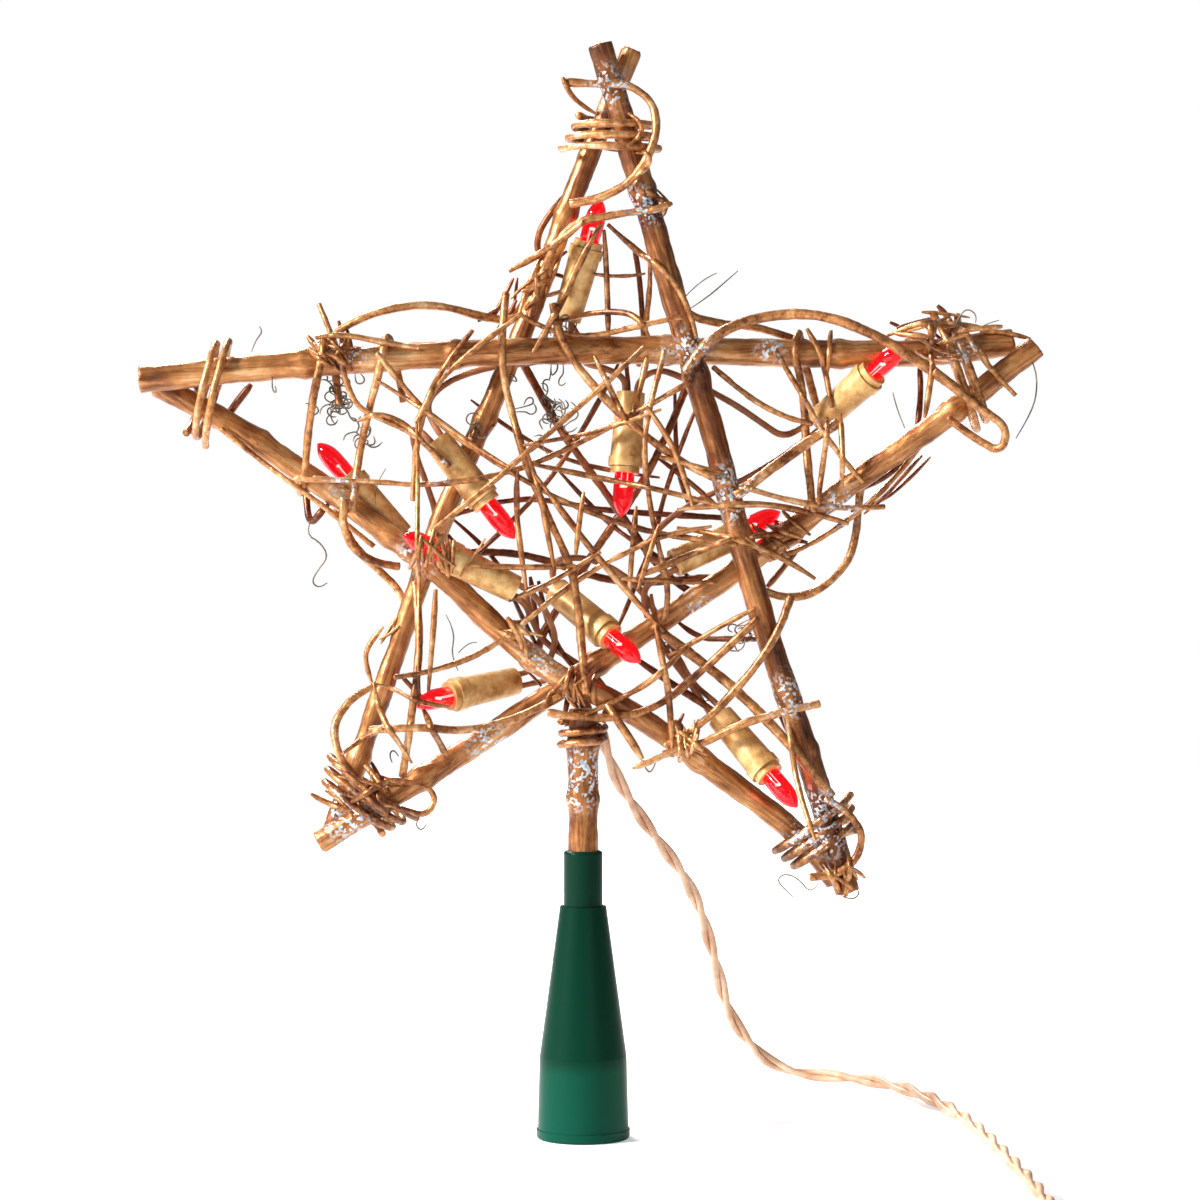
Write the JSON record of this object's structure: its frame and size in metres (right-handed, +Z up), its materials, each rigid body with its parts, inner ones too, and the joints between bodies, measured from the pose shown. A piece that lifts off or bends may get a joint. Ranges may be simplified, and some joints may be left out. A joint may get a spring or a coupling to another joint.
{
  "type": "lighted tree topper star",
  "caption": "Five-pointed star of gold twigs and vines with small red lights, on a stem in a conical socket that slips over a tree's top shoot, with a lead and plug.",
  "frame": {"origin": "centre of the socket's mouth, on the surface that the socket stands on", "axes": "+Z up along the stem, +X to the star's right tip as seen from the front, front of the star towards -Y"},
  "size_m": [0.2294, 0.28, 0.2791],
  "materials": {
    "gold_twig": "gold spray paint over bark",
    "gold_vine": "gold spray paint over dry vine",
    "green_plastic": "satin moulded",
    "holder_plastic": "gold-brown moulded",
    "base_plastic": "gold-brown moulded",
    "bulb_glass": "red, lit",
    "contact_brass": "bare",
    "wire_insulation": "copper brown",
    "lead_insulation": "copper tan, twisted pair",
    "tie_plastic": "brown",
    "plug_plastic": "copper brown moulded",
    "blade_brass": "bare",
    "fuse_glass": "clear tube with metal caps"
  },
  "bodies": {
    "star": {"stick_top_left": "gold_twig", "stick_top_right": "gold_twig", "stick_cross": "gold_twig", "stick_left": "gold_twig", "stick_right": "gold_twig", "stem": "gold_twig", "binding_top": "gold_vine", "binding_left": "gold_vine", "binding_right": "gold_vine", "binding_lower_left": "gold_vine", "binding_lower_right": "gold_vine", "stem_binding": "gold_vine", "vines_top_arm": "gold_vine", "vines_left_arm": "gold_vine", "vines_right_arm": "gold_vine", "vines_lower_left_arm": "gold_vine", "vines_lower_right_arm": "gold_vine", "vines_centre_front": "gold_vine", "vines_centre_back": "gold_vine", "vines_outer_hoops": "gold_vine", "tree_socket": "green_plastic", "lamp_holder_01": "holder_plastic", "lamp_holder_02": "holder_plastic", "lamp_holder_03": "holder_plastic", "lamp_holder_04": "holder_plastic", "lamp_holder_05": "holder_plastic", "lamp_holder_06": "holder_plastic", "lamp_holder_07": "holder_plastic", "lamp_holder_08": "holder_plastic", "lamp_holder_09": "holder_plastic", "lamp_holder_10": "holder_plastic", "holder_contacts": "contact_brass", "string_wires": "wire_insulation", "lead_cord": "lead_insulation", "cord_coil": "lead_insulation", "cord_tie": "tie_plastic", "plug_body": "plug_plastic", "plug_blades": "blade_brass", "plug_fuses": "fuse_glass"},
    "push_in_bulb_01": {"bulb_base_01": "base_plastic", "bulb_01": "bulb_glass"},
    "push_in_bulb_02": {"bulb_base_02": "base_plastic", "bulb_02": "bulb_glass"},
    "push_in_bulb_03": {"bulb_base_03": "base_plastic", "bulb_03": "bulb_glass"},
    "push_in_bulb_04": {"bulb_base_04": "base_plastic", "bulb_04": "bulb_glass"},
    "push_in_bulb_05": {"bulb_base_05": "base_plastic", "bulb_05": "bulb_glass"},
    "push_in_bulb_06": {"bulb_base_06": "base_plastic", "bulb_06": "bulb_glass"},
    "push_in_bulb_07": {"bulb_base_07": "base_plastic", "bulb_07": "bulb_glass"},
    "push_in_bulb_08": {"bulb_base_08": "base_plastic", "bulb_08": "bulb_glass"},
    "push_in_bulb_09": {"bulb_base_09": "base_plastic", "bulb_09": "bulb_glass"},
    "push_in_bulb_10": {"bulb_base_10": "base_plastic", "bulb_10": "bulb_glass"},
    "fuse_cover": {"fuse_door": "plug_plastic"}
  },
  "joints": [
    {"name": "bulb_01_pull_out", "type": "slide", "parent": "star", "child": "push_in_bulb_01", "axis": [0.2736, -0.1392, 0.9517], "range_m": [0, 0.008]},
    {"name": "bulb_02_pull_out", "type": "slide", "parent": "star", "child": "push_in_bulb_02", "axis": [0.647, -0.4695, 0.6008], "range_m": [0, 0.008]},
    {"name": "bulb_03_pull_out", "type": "slide", "parent": "star", "child": "push_in_bulb_03", "axis": [0.8591, 0.309, 0.4081], "range_m": [0, 0.008]},
    {"name": "bulb_04_pull_out", "type": "slide", "parent": "star", "child": "push_in_bulb_04", "axis": [-0.0763, -0.1045, -0.9916], "range_m": [0, 0.008]},
    {"name": "bulb_05_pull_out", "type": "slide", "parent": "star", "child": "push_in_bulb_05", "axis": [-0.6644, 0, 0.7474], "range_m": [0, 0.008]},
    {"name": "bulb_06_pull_out", "type": "slide", "parent": "star", "child": "push_in_bulb_06", "axis": [0.6173, -0.0872, -0.7819], "range_m": [0, 0.008]},
    {"name": "bulb_07_pull_out", "type": "slide", "parent": "star", "child": "push_in_bulb_07", "axis": [-0.8808, -0.1736, 0.4404], "range_m": [0, 0.008]},
    {"name": "bulb_08_pull_out", "type": "slide", "parent": "star", "child": "push_in_bulb_08", "axis": [0.6695, -0.5, -0.5493], "range_m": [0, 0.008]},
    {"name": "bulb_09_pull_out", "type": "slide", "parent": "star", "child": "push_in_bulb_09", "axis": [-0.7952, -0.5878, -0.1491], "range_m": [0, 0.008]},
    {"name": "bulb_10_pull_out", "type": "slide", "parent": "star", "child": "push_in_bulb_10", "axis": [0.5961, -0.4067, -0.6923], "range_m": [0, 0.008]},
    {"name": "fuse_door_slide", "type": "slide", "parent": "star", "child": "fuse_cover", "axis": [-1, 0, 0], "range_m": [0, 0.012]}
  ]
}
